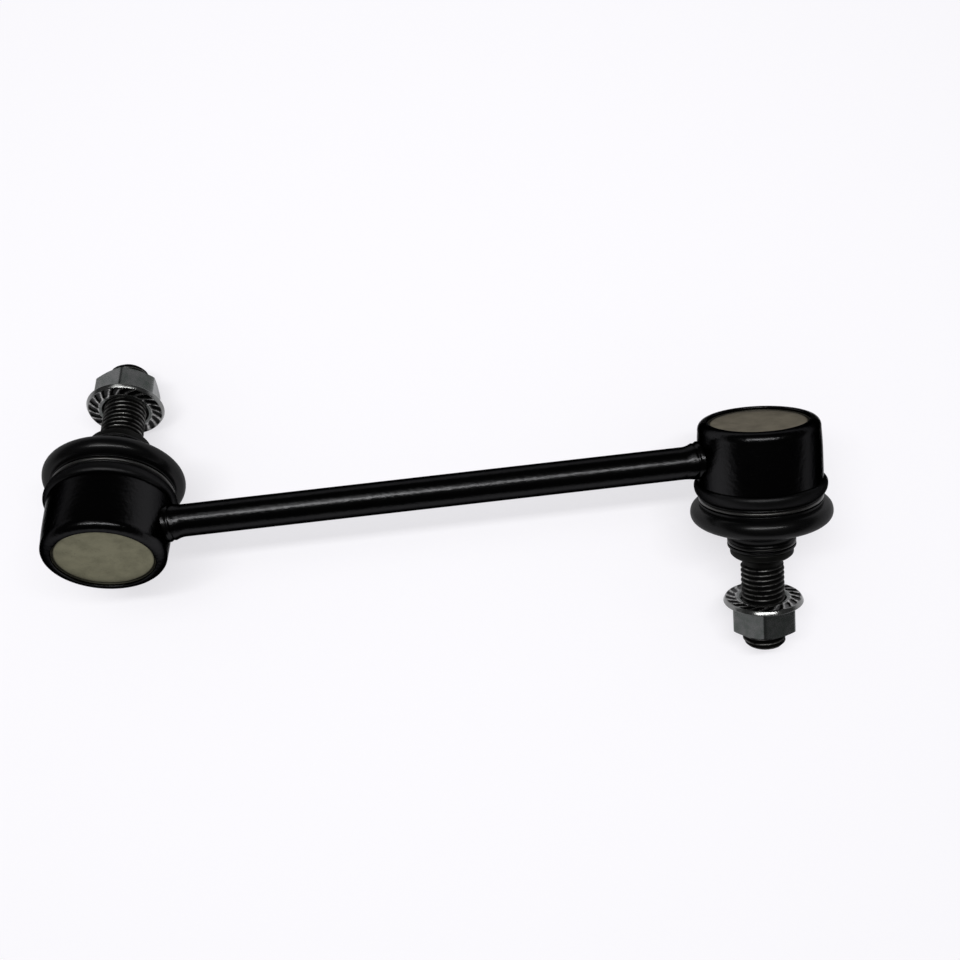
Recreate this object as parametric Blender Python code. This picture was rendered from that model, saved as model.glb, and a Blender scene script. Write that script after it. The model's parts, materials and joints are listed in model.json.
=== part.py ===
"""Stabilizer link: a round rod with a ball-joint housing welded to each end.

Each housing holds a ball stud in a plastic seat, closed by a pressed-in cap plate on one side and
by a rubber boot on the other. A serrated flange nut runs on each stud's thread.

Lengths are in metres and angles in degrees. Every piece of an end is drawn in that end's own frame:
the origin is the ball's centre, +Z runs along the stud towards its thread, and +X points along the
rod towards the other end. The whole link stands on its two nuts with +Z up and the rod along X.
"""

import math

import bmesh
import bpy
from mathutils import Matrix, Vector

# Driving sizes of the whole link
CENTRE_DISTANCE = 0.179
STUD_SPREAD = 127.0
ROD_DIAMETER = 0.009
ROD_OFFSET = 0.0018
CLEARANCE = 0.0003
SWING = 18.0

# Weld bead between the rod and a housing
BEAD_DIAMETER = 0.0109
BEAD_LENGTH = 0.004
BEAD_TOE_RISE = 0.5
BEAD_CROWN_WIDTH = 0.0012

# Ball and seat
BALL_DIAMETER = 0.016
BALL_FLAT_DIAMETER = 0.006
SEAT_WALL = 0.0037
SEAT_CROWN = 0.0007
SEAT_EDGE = 0.0007
SEAT_LIP_MARGIN = 3.0

# Housing
HOUSING_WALL = 0.0042
HOUSING_TAPER = 0.0003
RIM_RADIUS = 0.0022
RIM_THICKNESS = 0.0006
RIM_REACH = 0.0010
SHOULDER_THICKNESS = 0.0034
LIP_STAND = 0.0011
LIP_HEIGHT = 0.0036
LIP_CREST_AT = 0.35
LIP_UNDERCUT = 0.0011
MOUTH_MARGIN = 0.0007
BOOT_NECK_LENGTH = 0.0032
BOOT_NECK_WALL = 0.0023
BOOT_NECK_FLANGE = 0.0007

# Cap plate
CAP_THICKNESS = 0.0018
CAP_STEP = 0.0019
CAP_EDGE_CHAMFER = 0.0003

# Ball stud
NECK_DIAMETER = 0.009
STUD_REACH = 0.0272
COLLAR_DIAMETER = 0.0174
COLLAR_THICKNESS = 0.0025
COLLAR_CHAMFER = 0.0007
BOOT_SEAT_DIAMETER = 0.014
BOOT_SEAT_LENGTH = 0.0042
NECK_FLARE_LENGTH = 0.006
THREAD_DIAMETER = 0.012
THREAD_LENGTH = 0.0276
THREAD_RELIEF_DIAMETER = 0.011
THREAD_RELIEF_LENGTH = 0.0025
TIP_CHAMFER = 0.00107
SOCKET_FLATS = 0.006
SOCKET_DEPTH = 0.005

# Dust boot and its two rings
BOOT_DIAMETER = 0.0385
BOOT_WALL = 0.0013
BOOT_BULGE_AT = 0.28
BOOT_BELLY_FULLNESS = 0.62
BOOT_BELLY_TUCK = 0.1
BOOT_BEAD_THICKNESS = 0.0030
BOOT_LIP_LENGTH = 0.003
BOOT_LIP_THICKNESS = 0.0021
BOOT_WAIST = 0.0005
RING_WIRE = 0.001

# Flange nut
NUT_FLATS = 0.017
NUT_HEIGHT = 0.00975
NUT_CHAMFER = 0.0006
NUT_STANDOFF = 0.013
NUT_ROOT_DEPTH = 0.0003
FLANGE_DIAMETER = 0.0222
FLANGE_RIM = 0.0013
FLANGE_SLOPE = 28.0
TOOTH_COUNT = 20
TOOTH_DEPTH = 0.0004
TOOTH_RING_WIDTH = 0.0028
LEFT_NUT_TURN = 37.0
RIGHT_NUT_TURN = -15.0

# Fineness of the round shapes; multiples of four keep a piece in step after a quarter turn
SHELL_SEGMENTS = 28
STUD_SEGMENTS = 28
RING_SEGMENTS = 28
WIRE_SEGMENTS = 6
NUT_BLANK_SEGMENTS = 36
TOOTH_STEPS = 3

# Colours, roughness and metallic value of each finish
FINISHES = {
    "black_paint": ((0.012, 0.012, 0.013), 0.25, 0.0),
    "cap_plate": ((0.15, 0.145, 0.115), 0.45, 0.8),
    "seat_plastic": ((0.75, 0.74, 0.70), 0.4, 0.0),
    "stud_steel": ((0.05, 0.05, 0.052), 0.4, 0.9),
    "boot_rubber": ((0.014, 0.014, 0.014), 0.55, 0.0),
    "ring_steel": ((0.09, 0.09, 0.09), 0.35, 0.9),
    "nut_zinc": ((0.13, 0.14, 0.14), 0.35, 0.9),
}

# Handle length, as a share of the radius, that makes a cubic curve a quarter of a circle
QUARTER_ROUND = 0.5523

# Sizes that follow from the ball, the seat and the swing of the stud
ball_radius = BALL_DIAMETER / 2
neck_radius = NECK_DIAMETER / 2
cup_radius = ball_radius + CLEARANCE
both_swings = math.acos(math.cos(math.radians(SWING)) ** 2)
neck_angle = math.asin(neck_radius / cup_radius)
cup_edge_angle = neck_angle + both_swings + math.radians(SEAT_LIP_MARGIN)
cup_edge_z = cup_radius * math.cos(cup_edge_angle)
seat_bottom_z = cup_edge_z + SEAT_EDGE
seat_top_z = -(cup_radius + SEAT_CROWN)
seat_radius = cup_radius + SEAT_WALL

# Sizes that follow for the housing and its cap plate
bore_radius = seat_radius + CLEARANCE
shoulder_z = seat_bottom_z + CLEARANCE
body_end_z = shoulder_z + SHOULDER_THICKNESS
boot_neck_end_z = body_end_z + BOOT_NECK_LENGTH
cap_inner_z = seat_top_z - CLEARANCE
cap_outer_z = cap_inner_z - CAP_THICKNESS
cap_radius = bore_radius + CAP_STEP
rim_under_z = cap_outer_z - CLEARANCE
rim_top_z = rim_under_z - RIM_THICKNESS
housing_radius = bore_radius + HOUSING_WALL
housing_lower_radius = housing_radius + HOUSING_TAPER
lip_radius = housing_lower_radius + LIP_STAND


def mouth_radius(z):
    """Radius that the stud's neck needs at height z when it leans as far as both swings allow."""
    return z * math.tan(both_swings) + neck_radius / math.cos(both_swings) + MOUTH_MARGIN


def outer_radius(z):
    """Radius of the housing's tapered side at height z."""
    side_top_z = rim_top_z + RIM_RADIUS
    side_end_z = body_end_z - LIP_HEIGHT
    return housing_radius + HOUSING_TAPER * (z - side_top_z) / (side_end_z - side_top_z)


boot_neck_radius = mouth_radius(boot_neck_end_z) + BOOT_NECK_WALL

# Sizes that follow for the stud, measured from the ball's centre
collar_top_z = STUD_REACH - COLLAR_THICKNESS
thread_end_z = STUD_REACH + THREAD_LENGTH
nut_face_z = STUD_REACH + NUT_STANDOFF
thread_radius = THREAD_DIAMETER / 2
boot_seat_radius = BOOT_SEAT_DIAMETER / 2
boot_seat_top_z = collar_top_z - BOOT_SEAT_LENGTH
nut_radius = NUT_FLATS / math.sqrt(3)

# Sizes that follow for the boot and its rings
boot_top_z = body_end_z + CLEARANCE
boot_bead_inner = boot_neck_radius + CLEARANCE
boot_bead_outer = boot_bead_inner + BOOT_BEAD_THICKNESS
boot_bead_end_z = boot_neck_end_z - CLEARANCE
boot_bottom_z = collar_top_z - CLEARANCE
boot_lip_inner = boot_seat_radius + CLEARANCE
boot_lip_outer = boot_lip_inner + BOOT_LIP_THICKNESS
boot_lip_top_z = boot_bottom_z - BOOT_LIP_LENGTH
wire_radius = RING_WIRE / 2
upper_ring_z = (boot_top_z + boot_bead_end_z) / 2 - CLEARANCE / 2
lower_ring_z = (boot_lip_top_z + boot_bottom_z) / 2


def arc(centre, radius, start, end, steps):
    """Points on a circle in the profile's (radius, height) plane, angles in degrees from +radius."""
    angles = [math.radians(start + (end - start) * i / steps) for i in range(steps + 1)]
    return [(centre[0] + radius * math.cos(a), centre[1] + radius * math.sin(a)) for a in angles]


def bezier(p0, p1, p2, p3, steps):
    """Points on a cubic curve from p0 to p3."""
    points = []
    for i in range(steps + 1):
        t = i / steps
        weights = ((1 - t) ** 3, 3 * t * (1 - t) ** 2, 3 * t * t * (1 - t), t**3)
        corners = (p0, p1, p2, p3)
        points.append(tuple(sum(w * c[k] for w, c in zip(weights, corners)) for k in (0, 1)))
    return points


def inset_curve(points, distance):
    """The curve moved sideways by distance, to the left of its direction of travel."""
    moved = []
    for i, here in enumerate(points):
        before = Vector(points[max(i - 1, 0)])
        after = Vector(points[min(i + 1, len(points) - 1)])
        along = (after - before).normalized()
        moved.append((here[0] - along.y * distance, here[1] + along.x * distance))
    return moved


def finish_material(name):
    """Principled material with the finish's colour, roughness and metallic value."""
    colour, roughness, metallic = FINISHES[name]
    mat = bpy.data.materials.get(name) or bpy.data.materials.new(name)
    mat.use_nodes = True
    shader = mat.node_tree.nodes["Principled BSDF"]
    shader.inputs["Base Color"].default_value = (*colour, 1.0)
    shader.inputs["Roughness"].default_value = roughness
    shader.inputs["Metallic"].default_value = metallic
    mat.diffuse_color = (*colour, 1.0)
    return mat


def add_object(name, bm, finish=None, parent=None):
    """Turn a bmesh into an object, smooth-shaded with sharp edges kept."""
    bmesh.ops.recalc_face_normals(bm, faces=bm.faces)
    mesh = bpy.data.meshes.new(name)
    bm.to_mesh(mesh)
    bm.free()
    mesh.shade_smooth()
    mesh.set_sharp_from_angle(angle=math.radians(35))
    obj = bpy.data.objects.new(name, mesh)
    bpy.context.collection.objects.link(obj)
    obj.parent = parent
    if finish:
        mesh.materials.append(finish_material(finish))
    return obj


def as_cutter(obj):
    """Mark an object as a guide for Boolean modifiers, not as a piece of the link."""
    obj.hide_render = True
    obj.display_type = "WIRE"
    return obj


def boolean(obj, operation, other):
    """Add a live exact Boolean modifier."""
    mod = obj.modifiers.new(f"{operation.lower()}_{other.name}", "BOOLEAN")
    mod.operation = operation
    mod.solver = "EXACT"
    mod.object = other


def turned(profile, segments, closed):
    """Spin a (radius, height) profile about Z. An open profile starts and ends on the axis."""
    bm = bmesh.new()
    verts = [bm.verts.new((r, 0.0, z)) for r, z in profile]
    pairs = list(zip(verts, verts[1:]))
    if closed:
        pairs.append((verts[-1], verts[0]))
    edges = [bm.edges.new(pair) for pair in pairs]
    bmesh.ops.spin(
        bm,
        geom=verts + edges,
        cent=(0, 0, 0),
        axis=(0, 0, 1),
        angle=math.tau,
        steps=segments,
        use_merge=True,
    )
    bmesh.ops.remove_doubles(bm, verts=bm.verts, dist=1e-7)
    return bm


def prism(radius, sides, bottom, top, turn=0.0):
    """Regular prism about Z; turn rotates its first corner away from +X, in degrees."""
    bm = bmesh.new()
    bmesh.ops.create_circle(bm, cap_ends=True, segments=sides, radius=radius)
    lower = bm.faces[:]
    grown = bmesh.ops.extrude_face_region(bm, geom=lower)
    raised = [v for v in grown["geom"] if isinstance(v, bmesh.types.BMVert)]
    bmesh.ops.translate(bm, verts=raised, vec=(0, 0, top - bottom))
    bmesh.ops.translate(bm, verts=bm.verts, vec=(0, 0, bottom))
    first = max(bm.verts, key=lambda v: (round(v.co.x, 9), v.co.y)).co
    spin = math.radians(turn) - math.atan2(first.y, first.x)
    bmesh.ops.transform(bm, matrix=Matrix.Rotation(spin, 4, "Z"), verts=bm.verts)
    return bm


def make_housing(side, end):
    """Cup with a rolled rim over the cap plate, a retaining shoulder and a neck for the boot."""
    rim_centre = (housing_radius - RIM_RADIUS, rim_top_z + RIM_RADIUS)
    lip_start_z = body_end_z - LIP_HEIGHT
    rise = LIP_CREST_AT * LIP_HEIGHT
    fall = LIP_HEIGHT - rise
    crest_z = lip_start_z + rise
    lip_end_radius = lip_radius - LIP_UNDERCUT
    rim_inner = cap_radius - RIM_REACH + CLEARANCE / 2
    flange_radius = boot_neck_radius + BOOT_NECK_FLANGE
    edge = CLEARANCE
    profile = [(rim_inner, rim_top_z)]
    profile += arc(rim_centre, RIM_RADIUS, -90, 0, 4)
    profile += bezier(
        (housing_lower_radius, lip_start_z),
        (housing_lower_radius + QUARTER_ROUND * LIP_STAND, lip_start_z),
        (lip_radius, crest_z - QUARTER_ROUND * rise),
        (lip_radius, crest_z),
        3,
    )
    profile += bezier(
        (lip_radius, crest_z),
        (lip_radius, crest_z + QUARTER_ROUND * fall),
        (lip_end_radius + QUARTER_ROUND * LIP_UNDERCUT, body_end_z),
        (lip_end_radius, body_end_z),
        3,
    )[1:]
    profile += [
        (boot_neck_radius, body_end_z),
        (boot_neck_radius, boot_neck_end_z - 3 * edge),
        (flange_radius, boot_neck_end_z - 2 * edge),
        (flange_radius, boot_neck_end_z - edge),
        (flange_radius - edge, boot_neck_end_z),
        (mouth_radius(boot_neck_end_z), boot_neck_end_z),
        (mouth_radius(shoulder_z), shoulder_z),
        (bore_radius, shoulder_z),
        (bore_radius, seat_top_z),
        (cap_radius + CLEARANCE, seat_top_z),
        (cap_radius + CLEARANCE, rim_under_z),
        (rim_inner, rim_under_z),
    ]
    return add_object(f"{side}_housing", turned(profile, SHELL_SEGMENTS, True), "black_paint", end)


def make_cap_plate(side, end):
    """Round plate that closes the housing, with a small chamfer round its outer face."""
    profile = [
        (0.0, cap_outer_z),
        (cap_radius - CAP_EDGE_CHAMFER, cap_outer_z),
        (cap_radius, cap_outer_z + CAP_EDGE_CHAMFER),
        (cap_radius, cap_inner_z),
        (0.0, cap_inner_z),
    ]
    return add_object(f"{side}_cap_plate", turned(profile, SHELL_SEGMENTS, False), "cap_plate", end)


def make_ball_seat(side, end):
    """Plastic cup that wraps the ball past its middle and flares below to let the neck swing."""
    edge_angle = 90 - math.degrees(cup_edge_angle)
    profile = [(0.0, seat_top_z), (seat_radius, seat_top_z), (seat_radius, seat_bottom_z)]
    profile.append((mouth_radius(seat_bottom_z), seat_bottom_z))
    cup = arc((0.0, 0.0), cup_radius, edge_angle, -90, 8)
    cup[-1] = (0.0, -cup_radius)
    profile += cup
    return add_object(f"{side}_ball_seat", turned(profile, STUD_SEGMENTS, False), "seat_plastic", end)


def make_ball_stud(side, end):
    """Ball, neck, boot seat, collar and threaded shank in one forging, with a socket in the tip."""
    flat_radius = BALL_FLAT_DIAMETER / 2
    flat_angle = math.degrees(math.acos(flat_radius / ball_radius))
    neck_top = math.degrees(math.acos(neck_radius / ball_radius))
    collar_radius = COLLAR_DIAMETER / 2
    relief_radius = THREAD_RELIEF_DIAMETER / 2
    relief_end_z = STUD_REACH + THREAD_RELIEF_LENGTH
    ball = arc((0.0, 0.0), ball_radius, -flat_angle, neck_top, 9)
    profile = [(0.0, ball[0][1])] + ball
    profile += [
        (neck_radius, boot_seat_top_z - NECK_FLARE_LENGTH),
        (boot_seat_radius, boot_seat_top_z),
        (boot_seat_radius, collar_top_z),
        (collar_radius - CLEARANCE, collar_top_z),
        (collar_radius, collar_top_z + CLEARANCE),
        (collar_radius, STUD_REACH - COLLAR_CHAMFER),
        (collar_radius - COLLAR_CHAMFER, STUD_REACH),
        (relief_radius, STUD_REACH),
        (relief_radius, relief_end_z),
        (thread_radius, relief_end_z + thread_radius - relief_radius),
        (thread_radius, thread_end_z - TIP_CHAMFER),
        (thread_radius - TIP_CHAMFER, thread_end_z),
        (0.0, thread_end_z),
    ]
    stud = add_object(f"{side}_ball_stud", turned(profile, STUD_SEGMENTS, False), "stud_steel", end)
    socket_floor_z = thread_end_z - SOCKET_DEPTH
    socket = prism(SOCKET_FLATS / math.sqrt(3), 6, socket_floor_z, thread_end_z + TIP_CHAMFER)
    boolean(stud, "DIFFERENCE", as_cutter(add_object(f"{side}_socket_cutter", socket, None, end)))
    return stud


def groove(outer, z):
    """Profile points of the groove that a wire ring sits in, from the housing side down."""
    half = wire_radius + CLEARANCE
    floor = outer - RING_WIRE - CLEARANCE
    return [(outer, z - half), (floor, z - half), (floor, z + half), (outer, z + half)]


def make_dust_boot(side, end):
    """Rubber boot: a bead clamped on the housing's neck, a round bulge and a lip on the stud."""
    bulge_radius = BOOT_DIAMETER / 2
    drop = BOOT_BULGE_AT * (boot_lip_top_z - boot_bead_end_z)
    bulge_z = boot_bead_end_z + drop
    stand = bulge_radius - boot_bead_outer
    fall = boot_lip_top_z - bulge_z
    waist_radius = boot_lip_outer - BOOT_WAIST
    tuck = BOOT_BELLY_TUCK * (bulge_radius - waist_radius)
    bulge = bezier(
        (boot_bead_outer, boot_bead_end_z),
        (boot_bead_outer + QUARTER_ROUND * stand, boot_bead_end_z),
        (bulge_radius, bulge_z - QUARTER_ROUND * drop),
        (bulge_radius, bulge_z),
        3,
    )
    belly = bezier(
        (bulge_radius, bulge_z),
        (bulge_radius, bulge_z + BOOT_BELLY_FULLNESS * fall),
        (waist_radius + tuck, boot_lip_top_z - BOOT_BELLY_FULLNESS * fall),
        (waist_radius, boot_lip_top_z),
        6,
    )
    outside = bulge + belly[1:]
    neck_clear = boot_neck_radius + BOOT_NECK_FLANGE + CLEARANCE
    inside = [p for p in inset_curve(outside, BOOT_WALL)[::2] if p[1] > boot_neck_end_z + CLEARANCE]
    inside = [p for p in inside if p[0] > boot_lip_inner]
    profile = [(boot_bead_inner, boot_top_z), (boot_bead_outer, boot_top_z)]
    profile += groove(boot_bead_outer, upper_ring_z)
    profile += outside
    profile += [(boot_lip_outer, boot_lip_top_z + BOOT_WAIST)]
    profile += groove(boot_lip_outer, lower_ring_z)
    profile += [(boot_lip_outer, boot_bottom_z), (boot_lip_inner, boot_bottom_z)]
    profile += [(boot_lip_inner, inside[-1][1])]
    profile += inside[::-1]
    profile += [
        (neck_clear, boot_neck_end_z + CLEARANCE),
        (neck_clear, boot_neck_end_z - 4 * CLEARANCE),
        (boot_bead_inner, boot_neck_end_z - 5 * CLEARANCE),
    ]
    return add_object(f"{side}_dust_boot", turned(profile, SHELL_SEGMENTS, True), "boot_rubber", end)


def make_ring(side, end, name, centre_radius, z):
    """Wire ring that clamps the boot."""
    loop = arc((centre_radius, z), wire_radius, 0, 360, WIRE_SEGMENTS)[:-1]
    return add_object(f"{side}_{name}", turned(loop, RING_SEGMENTS, True), "ring_steel", end)


def make_flange_nut(side, stud, turn):
    """Hexagon nut with a wide flange whose face is cut into slanted teeth."""
    segments = TOOTH_COUNT * TOOTH_STEPS
    flange_radius = FLANGE_DIAMETER / 2
    bore = thread_radius + CLEARANCE
    tooth_inner = flange_radius - FLANGE_RIM / 2 - TOOTH_RING_WIDTH
    tooth_outer = flange_radius - FLANGE_RIM / 2
    tooth_middle_z = TOOTH_DEPTH / 2
    slope = math.tan(math.radians(FLANGE_SLOPE))
    core = (bore + NUT_FLATS / 2) / 2
    cone_top = FLANGE_RIM + (flange_radius - core) * slope
    profile = [
        (0.0, 0.0),
        (tooth_inner, 0.0),
        (tooth_inner + CLEARANCE, tooth_middle_z),
        (tooth_outer, tooth_middle_z),
        (flange_radius, FLANGE_RIM / 2),
        (flange_radius - CLEARANCE, FLANGE_RIM),
        (core, cone_top),
        (0.0, cone_top),
    ]
    flange = turned(profile, segments, False)
    for v in flange.verts:
        radius = math.hypot(v.co.x, v.co.y)
        in_tooth_plane = abs(v.co.z - tooth_middle_z) < CLEARANCE / 100
        if in_tooth_plane and tooth_inner < radius < flange_radius:
            slant = 1 if radius > tooth_inner + TOOTH_RING_WIDTH / 2 else 0
            step = round(math.atan2(v.co.y, v.co.x) / math.tau * segments) - slant
            v.co.z = TOOTH_DEPTH * (step % TOOTH_STEPS) / (TOOTH_STEPS - 1)
    nut = add_object(f"{side}_flange_nut", flange, "nut_zinc", stud)
    nut.location.z = nut_face_z
    nut.rotation_euler.z = math.radians(turn)

    blank_radius = nut_radius + CLEARANCE
    end_radius = NUT_FLATS / 2 - CLEARANCE
    blank = [
        (0.0, FLANGE_RIM),
        (blank_radius, FLANGE_RIM),
        (blank_radius, NUT_HEIGHT - NUT_CHAMFER * blank_radius / nut_radius),
        (end_radius, NUT_HEIGHT),
        (0.0, NUT_HEIGHT),
    ]
    hexagon = prism(nut_radius, 6, FLANGE_RIM - NUT_ROOT_DEPTH, NUT_HEIGHT + NUT_CHAMFER)
    hexagon = as_cutter(add_object(f"{side}_nut_hexagon", hexagon, None, nut))
    blank = turned(blank, NUT_BLANK_SEGMENTS, False)
    boolean(hexagon, "INTERSECT", as_cutter(add_object(f"{side}_nut_blank", blank, None, nut)))
    hole = prism(bore, STUD_SEGMENTS, -FLANGE_RIM, NUT_HEIGHT + FLANGE_RIM)
    boolean(nut, "UNION", hexagon)
    boolean(nut, "DIFFERENCE", as_cutter(add_object(f"{side}_nut_hole", hole, None, nut)))
    return nut


def make_end(side, link, x, turn_about_up, nut_turn):
    """All pieces of one end, hung from an empty at the ball's centre."""
    dip = (180.0 - STUD_SPREAD) / 2
    end = bpy.data.objects.new(f"{side}_ball_centre", None)
    end.empty_display_size = ball_radius
    bpy.context.collection.objects.link(end)
    end.parent = link
    end.rotation_euler = (math.radians(-90 - dip), 0.0, math.radians(turn_about_up))
    along_stud = end.rotation_euler.to_matrix() @ Vector((0, 0, 1))
    end.location = Vector((x, 0, 0)) + along_stud * ROD_OFFSET
    make_housing(side, end)
    make_cap_plate(side, end)
    make_ball_seat(side, end)
    make_dust_boot(side, end)
    stud = make_ball_stud(side, end)
    make_ring(side, end, "boot_upper_ring", boot_bead_outer - wire_radius, upper_ring_z)
    make_ring(side, end, "boot_lower_ring", boot_lip_outer - wire_radius, lower_ring_z)
    make_flange_nut(side, stud, nut_turn)
    return end


def housing_envelope(side, end):
    """The housing's side grown by the clearance: whatever meets the housing is trimmed by it."""
    low, high = -ROD_OFFSET - BEAD_DIAMETER, -ROD_OFFSET + BEAD_DIAMETER
    profile = [
        (0.0, low),
        (outer_radius(low) + CLEARANCE, low),
        (outer_radius(high) + CLEARANCE, high),
        (0.0, high),
    ]
    return as_cutter(add_object(f"{side}_envelope", turned(profile, SHELL_SEGMENTS, False), None, end))


def make_rod(link, envelopes):
    """Plain round rod whose ends are trimmed to the two housings."""
    half = CENTRE_DISTANCE / 2 - bore_radius
    radius = ROD_DIAMETER / 2
    profile = [(0.0, -half), (radius, -half), (radius, half), (0.0, half)]
    rod = add_object("link_rod", turned(profile, STUD_SEGMENTS, False), "black_paint", link)
    rod.rotation_euler.y = math.radians(90)
    for envelope in envelopes:
        boolean(rod, "DIFFERENCE", envelope)
    return rod


def make_weld_bead(side, link, sign, envelope):
    """Rounded ring of weld metal round the rod, against the housing."""
    inner = ROD_DIAMETER / 2 + CLEARANCE
    outer = BEAD_DIAMETER / 2
    wall_x = CENTRE_DISTANCE / 2 - outer_radius(-ROD_OFFSET) - CLEARANCE
    toe_x = wall_x - BEAD_LENGTH
    crown_x = wall_x - BEAD_CROWN_WIDTH
    root_x = wall_x + HOUSING_WALL / 2
    rise = BEAD_TOE_RISE * (crown_x - toe_x)
    toe_radius = inner + CLEARANCE
    bead = bezier(
        (toe_radius, toe_x),
        (toe_radius, toe_x + rise),
        (outer, crown_x - rise),
        (outer, crown_x),
        3,
    )
    profile = [(inner, toe_x)] + bead + [(outer, root_x), (inner, root_x)]
    obj = add_object(f"{side}_weld_bead", turned(profile, STUD_SEGMENTS, True), "black_paint", link)
    obj.rotation_euler.y = math.radians(90 * sign)
    boolean(obj, "DIFFERENCE", envelope)
    return obj


def stand_on_floor(link):
    """Move the whole link so that its box stands on z = 0, centred on the origin."""
    bpy.context.view_layer.update()
    depsgraph = bpy.context.evaluated_depsgraph_get()
    corners = []
    for obj in bpy.data.objects:
        if obj.type == "MESH" and not obj.hide_render:
            shape = obj.evaluated_get(depsgraph)
            corners += [obj.matrix_world @ v.co for v in shape.to_mesh().vertices]
            shape.to_mesh_clear()
    low = [min(c[k] for c in corners) for k in range(3)]
    high = [max(c[k] for c in corners) for k in range(3)]
    link.location = (-(low[0] + high[0]) / 2, -(low[1] + high[1]) / 2, -low[2])
    bpy.context.view_layer.update()


def main():
    for obj in list(bpy.data.objects):
        bpy.data.objects.remove(obj)
    link = bpy.data.objects.new("link_frame", None)
    bpy.context.collection.objects.link(link)
    left = make_end("left", link, -CENTRE_DISTANCE / 2, 0.0, LEFT_NUT_TURN)
    right = make_end("right", link, CENTRE_DISTANCE / 2, 180.0, RIGHT_NUT_TURN)
    envelopes = [housing_envelope("left", left), housing_envelope("right", right)]
    make_rod(link, envelopes)
    make_weld_bead("left", link, -1, envelopes[0])
    make_weld_bead("right", link, 1, envelopes[1])
    stand_on_floor(link)


main()
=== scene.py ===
# %% [markdown]
# A stabilizer link joins a car's anti-roll bar to its suspension. It is a short round rod with a
# ball joint welded to each end. This lesson dresses the plain solids of such a link: they are
# loaded as a fixed frame, and finer pieces with real finishes are modelled over them, in place.

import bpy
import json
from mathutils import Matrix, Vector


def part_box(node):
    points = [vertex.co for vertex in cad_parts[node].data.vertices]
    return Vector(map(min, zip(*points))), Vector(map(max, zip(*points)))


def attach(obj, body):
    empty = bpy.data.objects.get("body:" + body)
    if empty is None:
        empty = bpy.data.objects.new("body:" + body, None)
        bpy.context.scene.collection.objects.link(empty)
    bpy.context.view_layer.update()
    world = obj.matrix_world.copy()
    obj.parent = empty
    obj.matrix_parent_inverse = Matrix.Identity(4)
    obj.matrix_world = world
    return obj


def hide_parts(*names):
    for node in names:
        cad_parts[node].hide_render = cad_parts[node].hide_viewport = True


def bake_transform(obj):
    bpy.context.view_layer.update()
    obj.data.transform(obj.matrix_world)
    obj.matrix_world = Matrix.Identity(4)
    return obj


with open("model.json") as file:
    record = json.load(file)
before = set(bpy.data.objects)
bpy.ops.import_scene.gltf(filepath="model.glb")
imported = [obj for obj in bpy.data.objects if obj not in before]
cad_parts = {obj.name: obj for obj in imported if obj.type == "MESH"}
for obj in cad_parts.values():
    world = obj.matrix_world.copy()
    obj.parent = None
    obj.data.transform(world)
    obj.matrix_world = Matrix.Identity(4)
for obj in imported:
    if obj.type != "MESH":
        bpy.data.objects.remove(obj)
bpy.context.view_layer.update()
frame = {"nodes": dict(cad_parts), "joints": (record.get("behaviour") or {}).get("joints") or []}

# %% [markdown]
# Both ends of the link are built alike, so each piece of an end is drawn once, in millimetres, in
# the end's own frame: the origin is the ball's centre, +Z runs along the stud and +X points along
# the rod to the other end. The frame's joints say where that is, so nothing is placed by eye.

# %% Where each end stands
import json
import math

import bmesh
import bpy
from mathutils import Matrix, Vector
from mathutils.geometry import interpolate_bezier

MM = 0.001
INWARD = {"left": Vector((1, 0, 0)), "right": Vector((-1, 0, 0))}
joints = {joint["name"]: joint for joint in frame["joints"]}


def end_frame(side):
    """Matrix from an end's own millimetres to the frame's metres."""
    stud = joints[f"{side}_stud_turn"]
    along = Vector(stud["axis"]).normalized()
    inward = INWARD[side]
    turn = Matrix((inward, along.cross(inward), along)).transposed().to_4x4()
    return Matrix.Translation(stud["pos_m"]) @ turn @ Matrix.Scale(MM, 4)


def own_points(side, node):
    """The vertices of a solid in millimetres in its end's frame."""
    back = end_frame(side).inverted()
    return [back @ vertex.co for vertex in frame["nodes"][node].data.vertices]


def reach(node):
    """Lowest height, highest height and largest radius of one of the left end's solids."""
    points = own_points("left", node)
    heights = [point.z for point in points]
    return min(heights), max(heights), max(point.xy.length for point in points)


for node in ("left_housing", "left_cap_plate", "left_ball_stud", "left_dust_boot", "left_flange_nut"):
    print(node, "from, to, radius in mm:", [round(value, 2) for value in reach(node)])

# %% [markdown]
# Nearly every piece here was turned, drawn or moulded round, so one helper makes them all. It takes
# the corners of half a cross-section, rounds each corner by its own amount with a vertex bevel, and
# spins the line about the stud. A plain cylinder with a Bevel modifier would be quicker, but it
# gives every edge the same rounding, and here a rolled rim sits beside a sharp groove.

# %% Spin a rounded profile
ROUND_STEPS = 96
ARC_STEPS = 5
WELD_DISTANCE = 0.0001


def turned(corners, steps=ROUND_STEPS, closed=False):
    """Spin (radius, height, rounding) corners about +Z. An open line starts and ends on the axis."""
    bm = bmesh.new()
    verts = [bm.verts.new((radius, 0, height)) for radius, height, _ in corners]
    for pair in zip(verts, verts[1:]):
        bm.edges.new(pair)
    if closed:
        bm.edges.new((verts[-1], verts[0]))
    for vert, (_, _, rounding) in zip(verts, corners):
        if rounding:
            bmesh.ops.bevel(bm, geom=[vert], offset=rounding, offset_type="OFFSET",
                            segments=ARC_STEPS, profile=0.5, affect="VERTICES", material=-1)
    bmesh.ops.spin(bm, geom=bm.verts[:] + bm.edges[:], cent=(0, 0, 0), axis=(0, 0, 1),
                   angle=math.tau, steps=steps, use_merge=True)
    bmesh.ops.remove_doubles(bm, verts=bm.verts, dist=WELD_DISTANCE)
    bmesh.ops.recalc_face_normals(bm, faces=bm.faces)
    return bm


washer = turned([(6, 0, 0.2), (9, 0, 0.2), (9, 2, 0.2), (6, 2, 0.2)], closed=True)
print("a trial washer has", len(washer.faces), "faces")
washer.free()

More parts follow.
